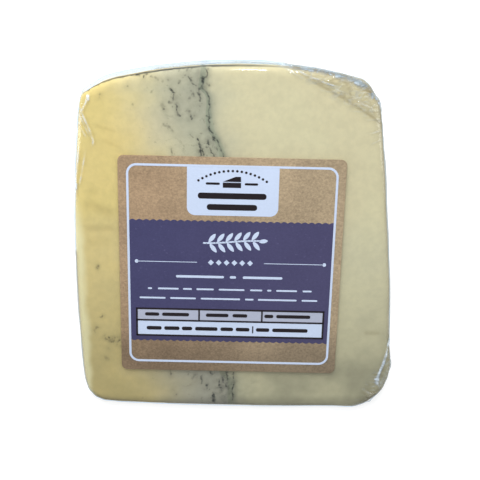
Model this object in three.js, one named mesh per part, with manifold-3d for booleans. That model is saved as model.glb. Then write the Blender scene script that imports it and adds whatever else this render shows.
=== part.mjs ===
// A wedge of two-milk cheese in clear film, lying on one cut face.
//
// A layer of sheep cheese and a layer of goat cheese meet at a thin wavy vein of ash.
// The wedge is cut from a wheel: its rim is at +Y, its blunt tip at -Y, and the axis
// of the wheel lies along X. Both flat faces of the wheel are the left and right sides.
// A paper label lies on the upper cut face. Millimetres, +Z up, origin under the middle.

import * as THREE from "three";
import { mergeVertices } from "three/addons/utils/BufferGeometryUtils.js";
import Module from "manifold-3d";

// Driving dimensions, in millimetres and degrees
const WEDGE_ANGLE = THREE.MathUtils.degToRad(15.5);
const WHEEL_RADIUS = 135;
const TIP_Y = -60;
const TIP_HEIGHT = 3.5;
const FILM = 0.3;
const GAP = 0.3;
const FLOOR = FILM + GAP;
const COLUMNS = 112;

const EDGE_ROUND = 2.6;
const BOTTOM_ROUND = 2.2;
const SHOULDER_ROUND = 13;
const SHOULDER = { x: 40, y: 44, reach: 17 };

const VEIN_WIDTH = 1.5;
const VEIN_DRIFT = 1.5;

const RIM_SLACK = 0.4;
const FIN_REACH = 2.4;
const FIN_FROM = -30;
const FIN_TO = 26;
const FIN_LEVEL = 0.12;

// The seal fin from under to over: side of its middle, spread along the wall, share of its reach
const FIN_PROFILE = [
  [-1, 0.1, 0],
  [-1, 0.06, 0.35],
  [-1, 0.02, 1],
  [1, 0.02, 1],
  [1, 0.06, 0.35],
  [1, 0.1, 0],
];

const LABEL_WIDTH = 75;
const LABEL_HEIGHT = 76;
const LABEL_CORNER = 2;
const LABEL_THICKNESS = 0.3;
const LABEL_X = -1.5;
const LABEL_Y = -9.6;
const LABEL_TURN = THREE.MathUtils.degToRad(-1.3);

// Where the film stands off the cheese: its gathered corners
const EARS = [
  { x: 50.5, y: -49, out: 4.1, reach: 10 },
  { x: -48, y: 46, out: 1.4, reach: 6 },
  { x: 41, y: 47, out: 2.6, reach: 10 },
];

const SLOPE = Math.tan(WEDGE_ANGLE);
const COS = Math.cos(WEDGE_ANGLE);
const { smoothstep, lerp } = THREE.MathUtils;

// Height of the film's upper plane over a point
const planeHeight = (y) => TIP_HEIGHT + (y - TIP_Y) * SLOPE;

// Outline of the cheese from above, at its upper edge
function cheeseOutline() {
  const plan = new THREE.Shape();
  plan.moveTo(-43.5, -57.9);
  plan.quadraticCurveTo(0, -60.1, 41, -59.5);
  plan.bezierCurveTo(48, -59.2, 50.5, -50, 53.9, -33);
  plan.bezierCurveTo(54.4, -14, 50.2, 15, 47.3, 36);
  plan.bezierCurveTo(46.3, 45, 38, 50.4, 26, 53.6);
  plan.bezierCurveTo(8, 56.7, -16, 55.9, -37, 51.8);
  plan.bezierCurveTo(-44, 50.4, -49, 47, -50.7, 38);
  plan.bezierCurveTo(-54.2, 16, -55, -20, -53.7, -46);
  plan.bezierCurveTo(-53.3, -54, -51.5, -57.7, -43.5, -57.9);
  const points = plan.getSpacedPoints(COLUMNS).slice(0, COLUMNS);
  return points.map((at, i) => {
    const before = points[(i + COLUMNS - 1) % COLUMNS];
    const after = points[(i + 1) % COLUMNS];
    const along = after.clone().sub(before).normalize();
    return { x: at.x, y: at.y, nx: along.y, ny: -along.x };
  });
}

const OUTLINE = cheeseOutline();

// A soft bump, 1 at its centre and 0 far off
function bump(point, spot) {
  const far = Math.hypot(point.x - spot.x, point.y - spot.y) / spot.reach;
  return Math.exp(-far * far);
}

// How far the film stands off the cheese at one column
function slack(point) {
  const rim = RIM_SLACK * smoothstep(point.ny, 0.75, 0.97);
  return EARS.reduce((sum, ear) => sum + ear.out * bump(point, ear), rim);
}

// How much of the seal fin one column carries, 0 to 1
function finShare(point) {
  const inside = smoothstep(point.x, FIN_FROM, FIN_FROM + 8) *
    (1 - smoothstep(point.x, FIN_TO - 8, FIN_TO));
  return point.ny > 0.7 ? inside : 0;
}

// The wheel's rim leans out below its upper edge, as the arc about the wheel's axis does
function rimLean(point, z, top) {
  const arc = Math.sqrt(WHEEL_RADIUS ** 2 - z ** 2) - Math.sqrt(WHEEL_RADIUS ** 2 - top ** 2);
  return Math.max(0, arc) * Math.max(0, point.ny);
}

// One column of a wrapped surface, from its bottom edge up the wall to the upper face.
// `offset` is the distance outside the cheese, `loose` adds the film's slack and seal fin.
function column(point, offset, loose) {
  const out = offset + (loose ? slack(point) : 0);
  const base = FLOOR - offset;
  const at = (inset, z) => {
    const push = out - inset;
    return [point.x + point.nx * push, point.y + point.ny * push, z];
  };
  const faceHeight = (y) => planeHeight(y) - (FLOOR - offset) / COS;
  const edgeTop = faceHeight(point.y + point.ny * out);
  const height = edgeTop - base;
  const shoulder = loose ? 0 : (SHOULDER_ROUND - EDGE_ROUND) * bump(point, SHOULDER);
  const roundTop = Math.min(EDGE_ROUND + shoulder + offset, height * 0.44);
  const roundBottom = Math.min(BOTTOM_ROUND + offset, height * 0.4);
  const rows = [];
  for (const turn of [0, 45, 90]) {
    const a = THREE.MathUtils.degToRad(turn);
    rows.push(at(roundBottom * (1 - Math.sin(a)), base + roundBottom * (1 - Math.cos(a))));
  }
  const low = base + roundBottom;
  const high = edgeTop - roundTop;
  const fin = loose ? finShare(point) : 0;
  if (loose) {
    const half = (offset - GAP / 2) / (high - low);
    const reach = fin * (FIN_REACH + FLOOR - offset);
    for (const [side, spread, share] of FIN_PROFILE) {
      const level = FIN_LEVEL + side * (share === 0 ? spread : lerp(spread, half, fin));
      rows.push(at(-reach * share, lerp(low, high, level)));
    }
  } else {
    rows.push(at(0, lerp(low, high, 0.5)));
  }
  for (const turn of [0, 30, 60, 90]) {
    const a = THREE.MathUtils.degToRad(turn);
    const inset = roundTop * (1 - Math.cos(a));
    const row = at(inset, 0);
    row[2] = faceHeight(row[1]) - roundTop * (1 - Math.sin(a));
    rows.push(row);
  }
  for (const row of rows) row[1] += rimLean(point, row[2], edgeTop);
  const last = rows.length - 1;
  rows[last][2] = faceHeight(rows[last][1]);
  return rows;
}

// Triangles of a wrapped surface: the wall between columns and a fan over each face.
// `skip(i, k)` leaves out the wall's square at column i and row k.
function wrappedSurface(offset, loose, skip = () => false) {
  const columns = OUTLINE.map((point) => column(point, offset, loose));
  const count = columns[0].length;
  const triangles = [];
  for (let i = 0; i < COLUMNS; i += 1) {
    const here = columns[i];
    const next = columns[(i + 1) % COLUMNS];
    for (let k = 0; k < count - 1; k += 1) {
      if (skip(i, k)) continue;
      triangles.push([here[k], next[k], next[k + 1]], [here[k], next[k + 1], here[k + 1]]);
    }
  }
  const middleY = -4;
  const faceMiddle = [0, middleY, planeHeight(middleY) - (FLOOR - offset) / COS];
  const bottomMiddle = [0, middleY, FLOOR - offset];
  for (let i = 0; i < COLUMNS; i += 1) {
    const here = columns[i];
    const next = columns[(i + 1) % COLUMNS];
    triangles.push([here[count - 1], next[count - 1], faceMiddle]);
    triangles.push([next[0], here[0], bottomMiddle]);
  }
  return { triangles, columns };
}

function geometryOf(triangles) {
  const geometry = new THREE.BufferGeometry();
  geometry.setAttribute("position", new THREE.Float32BufferAttribute(triangles.flat(2), 3));
  return geometry;
}

// Solids for joining and cutting
const wasm = await Module();
wasm.setup();

function solidOf(geometry) {
  const bare = geometry.clone();
  bare.deleteAttribute("normal");
  bare.deleteAttribute("uv");
  const merged = mergeVertices(bare, 1e-4);
  return new wasm.Manifold(new wasm.Mesh({
    numProp: 3,
    vertProperties: merged.attributes.position.array,
    triVerts: new Uint32Array(merged.index.array),
  }));
}

function geometryFromSolid(solid) {
  const mesh = solid.getMesh();
  const geometry = new THREE.BufferGeometry();
  geometry.setAttribute("position", new THREE.BufferAttribute(mesh.vertProperties, 3));
  geometry.setIndex(new THREE.BufferAttribute(mesh.triVerts, 1));
  geometry.computeVertexNormals();
  return geometry;
}

// The vein's course along the upper face, from the blunt tip to the rim
const VEIN_COURSE = new THREE.SplineCurve([
  new THREE.Vector2(-1.2, -72),
  new THREE.Vector2(-1.6, -57),
  new THREE.Vector2(-1.8, -50),
  new THREE.Vector2(-4.4, -46),
  new THREE.Vector2(-3.0, -30),
  new THREE.Vector2(-4.6, -8),
  new THREE.Vector2(-2.8, 12),
  new THREE.Vector2(-4.0, 28),
  new THREE.Vector2(-7.6, 36),
  new THREE.Vector2(-8.2, 41),
  new THREE.Vector2(-8.4, 46),
  new THREE.Vector2(-10.6, 48.5),
  new THREE.Vector2(-9.6, 54),
  new THREE.Vector2(-8.0, 76),
]);

// X of the vein's middle at a depth under the upper face
function veinX(t, y, z) {
  const depth = Math.max(0, planeHeight(y) - z);
  return VEIN_COURSE.getPoint(t).x + VEIN_DRIFT * Math.sin(depth / 8) * Math.cos(y / 17);
}

// Half of the vein's width, which swells and thins along its course
const veinHalf = (y) => VEIN_WIDTH / 2 * (1 + 0.3 * Math.sin(y / 4.3) + 0.2 * Math.sin(y / 1.9));

// A closed slab across the wedge between two wavy sheets, each a function of (t, y, z)
function slab(leftSheet, rightSheet) {
  const steps = 46;
  const levels = [-6, 4, 12, 20, 28, 44];
  const sheet = (side) => Array.from({ length: steps + 1 }, (_, i) => {
    const t = i / steps;
    const y = VEIN_COURSE.getPoint(t).y;
    return levels.map((z) => [side(t, y, z), y, z]);
  });
  const left = sheet(leftSheet);
  const right = sheet(rightSheet);
  const triangles = [];
  const square = (a, b, c, d) => triangles.push([a, b, c], [a, c, d]);
  const top = levels.length - 1;
  for (let i = 0; i < steps; i += 1) {
    for (let k = 0; k < top; k += 1) {
      square(left[i + 1][k], left[i][k], left[i][k + 1], left[i + 1][k + 1]);
      square(right[i][k], right[i + 1][k], right[i + 1][k + 1], right[i][k + 1]);
    }
    square(left[i][0], left[i + 1][0], right[i + 1][0], right[i][0]);
    square(left[i + 1][top], left[i][top], right[i][top], right[i + 1][top]);
  }
  for (let k = 0; k < top; k += 1) {
    square(left[0][k], right[0][k], right[0][k + 1], left[0][k + 1]);
    square(right[steps][k], left[steps][k], left[steps][k + 1], right[steps][k + 1]);
  }
  return solidOf(geometryOf(triangles));
}

// Cheese: one wrapped solid, parted into three by the vein
const cheese = solidOf(geometryOf(wrappedSurface(0, false).triangles));
const farSide = 80;
const sheepPart = slab(() => -farSide, (t, y, z) => veinX(t, y, z) - veinHalf(y) - GAP);
const ashPart = slab((t, y, z) => veinX(t, y, z) - veinHalf(y), (t, y, z) => veinX(t, y, z) + veinHalf(y));
const goatPart = slab((t, y, z) => veinX(t, y, z) + veinHalf(y) + GAP, () => farSide);

// Film: an outer and an inner wrapped surface, joined through the slit in the seal fin
function filmGeometry() {
  const slitRow = 5;
  const onSlit = OUTLINE.map((point, i) => {
    const next = OUTLINE[(i + 1) % COLUMNS];
    return finShare(point) > 0.95 && finShare(next) > 0.95;
  });
  const skip = (i, k) => k === slitRow && onSlit[i];
  const outer = wrappedSurface(FLOOR, true, skip);
  const inner = wrappedSurface(GAP, true, skip);
  const triangles = [...outer.triangles];
  for (const [a, b, c] of inner.triangles) triangles.push([a, c, b]);
  const square = (a, b, c, d) => triangles.push([a, b, c], [a, c, d]);
  for (let i = 0; i < COLUMNS; i += 1) {
    if (!onSlit[i]) continue;
    const j = (i + 1) % COLUMNS;
    const [outHere, outNext] = [outer.columns[i], outer.columns[j]];
    const [inHere, inNext] = [inner.columns[i], inner.columns[j]];
    const [low, high] = [slitRow, slitRow + 1];
    square(outHere[low], outNext[low], inNext[low], inHere[low]);
    square(outNext[high], outHere[high], inHere[high], inNext[high]);
    if (!onSlit[(i + COLUMNS - 1) % COLUMNS]) {
      square(outHere[high], outHere[low], inHere[low], inHere[high]);
    }
    if (!onSlit[j]) square(outNext[low], outNext[high], inNext[high], inNext[low]);
  }
  const geometry = mergeVertices(geometryOf(triangles), 1e-4);
  geometry.computeVertexNormals();
  return geometry;
}

// Label: a thin rounded sheet of paper
function labelGeometry() {
  const [w, h, r] = [LABEL_WIDTH / 2, LABEL_HEIGHT / 2, LABEL_CORNER];
  const sheet = new THREE.Shape();
  sheet.moveTo(-w + r, -h);
  sheet.lineTo(w - r, -h);
  sheet.absarc(w - r, -h + r, r, -Math.PI / 2, 0, false);
  sheet.lineTo(w, h - r);
  sheet.absarc(w - r, h - r, r, 0, Math.PI / 2, false);
  sheet.lineTo(-w + r, h);
  sheet.absarc(-w + r, h - r, r, Math.PI / 2, Math.PI, false);
  sheet.lineTo(-w, -h + r);
  sheet.absarc(-w + r, -h + r, r, Math.PI, 1.5 * Math.PI, false);
  return new THREE.ExtrudeGeometry(sheet, { depth: LABEL_THICKNESS, bevelEnabled: false, curveSegments: 8 });
}

function piece(name, geometry, colour, roughness) {
  const material = new THREE.MeshStandardMaterial({ color: colour, roughness, metalness: 0 });
  const mesh = new THREE.Mesh(geometry, material);
  mesh.name = name;
  return mesh;
}

const wedge = new THREE.Group();
wedge.add(piece("sheep_layer", geometryFromSolid(cheese.intersect(sheepPart)), 0xe0cc8c, 0.5));
wedge.add(piece("ash_vein", geometryFromSolid(cheese.intersect(ashPart)), 0x565a50, 0.8));
wedge.add(piece("goat_layer", geometryFromSolid(cheese.intersect(goatPart)), 0xd3cdaa, 0.5));

const film = piece("clear_film", filmGeometry(), 0xf2f6fa, 0.08);
film.material.transparent = true;
film.material.opacity = 0.3;
wedge.add(film);

const label = piece("label", labelGeometry(), 0xa78f72, 0.85);
label.rotation.set(WEDGE_ANGLE, 0, LABEL_TURN);
label.position.set(
  LABEL_X,
  LABEL_Y - Math.sin(WEDGE_ANGLE) * GAP,
  planeHeight(LABEL_Y) + COS * GAP,
);
wedge.add(label);

// The origin goes under the middle of the whole
wedge.updateMatrixWorld(true);
const box = new THREE.Box3().setFromObject(wedge, true);
wedge.position.set(-(box.min.x + box.max.x) / 2, -(box.min.y + box.max.y) / 2, -box.min.z);

export default wedge;
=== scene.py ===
"""A wedge of two-milk cheese with an ash vein, in clear film with a paper label, on a pale floor."""

import math
import random

import bmesh
import bpy
from bpy.props import FloatProperty, FloatVectorProperty, PointerProperty
from mathutils import Matrix, Vector, noise
from mathutils.bvhtree import BVHTree


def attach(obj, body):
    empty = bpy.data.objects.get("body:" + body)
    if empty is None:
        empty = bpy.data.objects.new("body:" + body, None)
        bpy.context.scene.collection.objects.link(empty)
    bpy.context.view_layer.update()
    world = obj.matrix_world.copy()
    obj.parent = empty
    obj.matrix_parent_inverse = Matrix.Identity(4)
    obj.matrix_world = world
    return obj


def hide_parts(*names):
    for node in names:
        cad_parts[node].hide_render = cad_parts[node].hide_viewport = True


bl_info = {
    "name": "Ash-veined cheese wedge",
    "version": (1, 0, 0),
    "blender": (4, 5, 0),
    "location": "View3D > Sidebar > Cheese",
    "description": "Models a film-wrapped wedge of two-milk cheese around its frame",
    "category": "Object",
}

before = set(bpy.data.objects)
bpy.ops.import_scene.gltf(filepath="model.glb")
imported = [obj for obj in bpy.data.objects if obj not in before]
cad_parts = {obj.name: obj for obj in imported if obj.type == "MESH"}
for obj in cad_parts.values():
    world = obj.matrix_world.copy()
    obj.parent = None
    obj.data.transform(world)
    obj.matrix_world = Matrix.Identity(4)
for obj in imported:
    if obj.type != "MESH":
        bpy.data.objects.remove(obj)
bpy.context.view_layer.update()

# Sizes below are in millimetres unless they say otherwise, and MM turns them to metres
MM = 0.001
SLOPE_ANGLE = math.radians(15.5)
SLOPE = math.tan(SLOPE_ANGLE)
TIP = (-61.501, 3.5)
LABEL_MIDDLE = (-1.647, -11.101)
LABEL_TURN = math.radians(-1.3)
LABEL_HALVES = (37.5, 38.0)

# The vein's course on the upper face, from the blunt tip to the rim
COURSE_POINTS = [
    (-1.35, -73.5), (-1.75, -58.5), (-1.95, -51.5), (-4.55, -47.5), (-3.15, -31.5),
    (-4.75, -9.5), (-2.95, 10.5), (-4.15, 26.5), (-7.75, 34.5), (-8.35, 39.5),
    (-8.55, 44.5), (-10.75, 47.0), (-9.75, 52.5), (-8.15, 74.5),
]
VEIN_HALF = 0.75
VEIN_DRIFT = 1.5

# The seal's height, how far it stands out, and where along the rim it begins and ends
SEAL_LEVEL = 6.1
SEAL_REACH = 2.4
SEAL_START, SEAL_END = -31.0, 25.0
SEAL_STEPS = 300

# Under the film the cheese keeps this gap, and this much more behind the loose film of the rim
CHEESE_GAP = 0.42
RIM_SLACK = 0.5

# Corners of the wrap that stand out further than its rounded frame: place, reach and push outward
WRAP_CORNERS = [
    ((43.0, 50.6), 4.2, (0.75, 0.95)),
    ((47.6, 44.0), 3.6, (0.5, 0.2)),
    ((-50.0, 45.6), 3.0, (-0.45, 0.4)),
    ((54.0, -44.5), 7.5, (0.95, -0.1)),
    ((51.0, -56.0), 3.2, (0.55, -0.7)),
    ((53.6, 25.0), 13.0, (0.8, 0.0)),
]


def plane_z(y):
    """Height of the film's upper plane."""
    return TIP[1] + (y - TIP[0]) * SLOPE


def smooth(value, low, high):
    """0 below low, 1 above high and a smooth step between."""
    share = min(1.0, max(0.0, (value - low) / (high - low)))
    return share * share * (3 - 2 * share)


def ink(red, green, blue):
    """A colour given as it looks on a screen, 0 to 255, as the linear colour of a shader."""
    def linear(level):
        share = level / 255
        return share / 12.92 if share <= 0.04045 else ((share + 0.055) / 1.055) ** 2.4
    return (linear(red), linear(green), linear(blue))


def course_table():
    """The course as rows of (y, x), a smooth curve through its points."""
    rows = []
    last = len(COURSE_POINTS) - 1
    for i in range(last):
        before = COURSE_POINTS[max(i - 1, 0)]
        here, after = COURSE_POINTS[i], COURSE_POINTS[i + 1]
        beyond = COURSE_POINTS[min(i + 2, last)]
        for step in range(24):
            t = step / 24
            x, y = (
                0.5 * (2 * here[k] + (after[k] - before[k]) * t
                       + (2 * before[k] - 5 * here[k] + 4 * after[k] - beyond[k]) * t * t
                       + (3 * here[k] - before[k] - 3 * after[k] + beyond[k]) * t ** 3)
                for k in (0, 1)
            )
            rows.append((y, x))
    rows.append((COURSE_POINTS[last][1], COURSE_POINTS[last][0]))
    return rows


COURSE = course_table()


def course_x(y):
    """X of the vein's middle on the upper face."""
    if y <= COURSE[0][0]:
        return COURSE[0][1]
    low, high = 0, len(COURSE) - 1
    while high - low > 1:
        middle = (low + high) // 2
        if COURSE[middle][0] <= y:
            low = middle
        else:
            high = middle
    (y0, x0), (y1, x1) = COURSE[low], COURSE[high]
    return x0 + (x1 - x0) * min(1.0, max(0.0, (y - y0) / max(y1 - y0, 1e-6)))


def vein_x(y, z):
    """X of the vein's middle at a height, which drifts with the depth under the upper face."""
    depth = max(0.0, plane_z(y) - z)
    return course_x(y) + VEIN_DRIFT * math.sin(depth / 8) * math.cos((y + 1.5) / 17)


def vein_half(y):
    """Half of the vein's width, which swells and thins along its course."""
    at = y + 1.5
    return VEIN_HALF * (1 + 0.3 * math.sin(at / 4.3) + 0.2 * math.sin(at / 1.9)) + 0.15


def near_line(x, y, points):
    """Distance to a line of points and the share of the way along it."""
    if len(points) == 1:
        return math.hypot(x - points[0][0], y - points[0][1]), 0.0
    best, where = 1e9, 0.0
    runs = len(points) - 1
    for i, (a, b) in enumerate(zip(points, points[1:])):
        dx, dy = b[0] - a[0], b[1] - a[1]
        t = ((x - a[0]) * dx + (y - a[1]) * dy) / (dx * dx + dy * dy)
        t = min(1.0, max(0.0, t))
        away = math.hypot(x - a[0] - dx * t, y - a[1] - dy * t)
        if away < best:
            best, where = away, (i + t) / runs
    return best, where


# Selecting, copying and finishing pieces

def pick(*objects):
    """Selects only these objects, the first one active."""
    bpy.ops.object.select_all(action="DESELECT")
    for obj in objects:
        obj.select_set(True)
    bpy.context.view_layer.objects.active = objects[0]


def edit(obj, choice="SELECT"):
    """Opens an object in edit mode with all of it selected, or nothing."""
    pick(obj)
    bpy.ops.object.mode_set(mode="EDIT")
    bpy.ops.mesh.select_all(action=choice)


def select_whole():
    bpy.ops.mesh.select_all(action="SELECT")


def leave():
    bpy.ops.object.mode_set(mode="OBJECT")


def select_faces(obj, test):
    """Selects in edit mode the faces that a test of centre and normal, in millimetres, lets through."""
    bpy.ops.mesh.select_mode(type="FACE")
    mesh = bmesh.from_edit_mesh(obj.data)
    for face in mesh.faces:
        face.select_set(test(face.calc_center_median() / MM, face.normal))
    bmesh.update_edit_mesh(obj.data)


def copy_node(node, name):
    """A merged copy of a CAD node's mesh as a new object."""
    obj = bpy.data.objects.new(name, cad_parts[node].data.copy())
    bpy.context.scene.collection.objects.link(obj)
    obj.data.materials.clear()
    edit(obj)
    bpy.ops.mesh.customdata_custom_splitnormals_clear()
    bpy.ops.mesh.remove_doubles(threshold=2e-6)
    leave()
    return obj


def modify(obj, kind, **settings):
    """Adds a modifier and applies it."""
    pick(obj)
    modifier = obj.modifiers.new(kind.title(), kind)
    for name, value in settings.items():
        setattr(modifier, name, value)
    bpy.ops.object.modifier_apply(modifier=modifier.name)


def join(objects, name):
    pick(*objects)
    bpy.ops.object.join()
    objects[0].name = objects[0].data.name = name
    return objects[0]


def finish_piece(obj, material, slot, *nodes):
    """Gives a piece its material, and lets it ride in place of its nodes. Its slot is not used."""
    obj.data.name = obj.name
    obj.data.materials.clear()
    obj.data.materials.append(material)
    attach(obj, "root")
    if nodes:
        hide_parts(*nodes)


def write_attribute(obj, name, values):
    attribute = obj.data.attributes.new(name, "FLOAT", "POINT")
    attribute.data.foreach_set("value", values)


# Node trees

class Graph:
    """Adds nodes to a node tree. Each input takes a socket or a plain value."""

    def __init__(self, tree):
        self.tree = tree

    def node(self, kind, inputs=None, **settings):
        made = self.tree.nodes.new(kind)
        for name, value in settings.items():
            setattr(made, name, value)
        for key, value in (inputs or {}).items():
            if isinstance(value, bpy.types.NodeSocket):
                self.tree.links.new(value, made.inputs[key])
            else:
                made.inputs[key].default_value = value
        return made

    def math(self, operation, a, b=0.0, c=0.0, clamp=False):
        inputs = {0: a, 1: b, 2: c}
        return self.node("ShaderNodeMath", inputs, operation=operation, use_clamp=clamp).outputs[0]

    def times(self, a, b, clamp=False):
        return self.math("MULTIPLY", a, b, clamp=clamp)

    def vector(self, operation, a, b):
        return self.node("ShaderNodeVectorMath", {0: a, 1: b}, operation=operation).outputs[0]

    def scaled(self, vector, scale):
        return self.node("ShaderNodeVectorMath", {0: vector, "Scale": scale}, operation="SCALE").outputs[0]

    def step(self, value, low, high, start=0.0, end=1.0):
        inputs = {"Value": value, "From Min": low, "From Max": high, "To Min": start, "To Max": end}
        return self.node("ShaderNodeMapRange", inputs, interpolation_type="SMOOTHSTEP").outputs[0]

    def mix(self, share, a, b, blend="MIX"):
        def colour(value):
            return (*value, 1.0) if isinstance(value, tuple) and len(value) == 3 else value
        inputs = {0: share, 6: colour(a), 7: colour(b)}
        return self.node("ShaderNodeMix", inputs, data_type="RGBA", blend_type=blend).outputs[2]

    def tinted(self, colour, tint):
        return self.mix(1.0, colour, tint, "MULTIPLY")

    def grey(self, level):
        return self.node("ShaderNodeCombineColor", {0: level, 1: level, 2: level}).outputs[0]

    def attribute(self, name):
        return self.node("ShaderNodeAttribute", attribute_name=name).outputs["Fac"]

    def noise(self, point, scale, detail=2.0, rough=0.5, out="Fac"):
        inputs = {"Vector": point, "Scale": scale, "Detail": detail, "Roughness": rough}
        return self.node("ShaderNodeTexNoise", inputs).outputs[out]

    def cracks(self, point, scale):
        """Distance to the nearest edge between random cells."""
        inputs = {"Vector": point, "Scale": scale}
        return self.node("ShaderNodeTexVoronoi", inputs, feature="DISTANCE_TO_EDGE").outputs[0]

    def stretched(self, point, turn, scale):
        inputs = {"Vector": point, "Rotation": turn, "Scale": scale}
        return self.node("ShaderNodeMapping", inputs).outputs[0]

    def bump(self, height, strength, distance):
        inputs = {"Height": height, "Strength": strength, "Distance": distance}
        return self.node("ShaderNodeBump", inputs).outputs[0]

    def split(self, point):
        return self.node("ShaderNodeSeparateXYZ", {0: point}).outputs

    def group(self, tree, inputs):
        made = self.node("ShaderNodeGroup", node_tree=tree)
        for key, value in inputs.items():
            if isinstance(value, bpy.types.NodeSocket):
                self.tree.links.new(value, made.inputs[key])
            elif isinstance(value, tuple) and len(value) == 3 and made.inputs[key].type == "RGBA":
                made.inputs[key].default_value = (*value, 1.0)
            else:
                made.inputs[key].default_value = value
        return made.outputs

    def send(self, out, values):
        """Links each socket to the input of that name."""
        for name, value in values.items():
            self.tree.links.new(value, out.inputs[name])


def new_group(name, inputs, outputs):
    """A shader node group with named inputs and outputs: its tree, graph, input sockets and output node."""
    tree = bpy.data.node_groups.new(name, "ShaderNodeTree")
    for label, kind in inputs:
        tree.interface.new_socket(label, in_out="INPUT", socket_type=kind)
    for label, kind in outputs:
        tree.interface.new_socket(label, in_out="OUTPUT", socket_type=kind)
    graph = Graph(tree)
    return tree, graph, graph.node("NodeGroupInput").outputs, graph.node("NodeGroupOutput")


def new_material(name):
    """An empty material with its graph, output node and Object coordinates."""
    material = bpy.data.materials.new(name)
    material.use_nodes = True
    material.node_tree.nodes.clear()
    graph = Graph(material.node_tree)
    out = graph.node("ShaderNodeOutputMaterial")
    point = graph.node("ShaderNodeTexCoord").outputs["Object"]
    return material, graph, out, point


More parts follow.
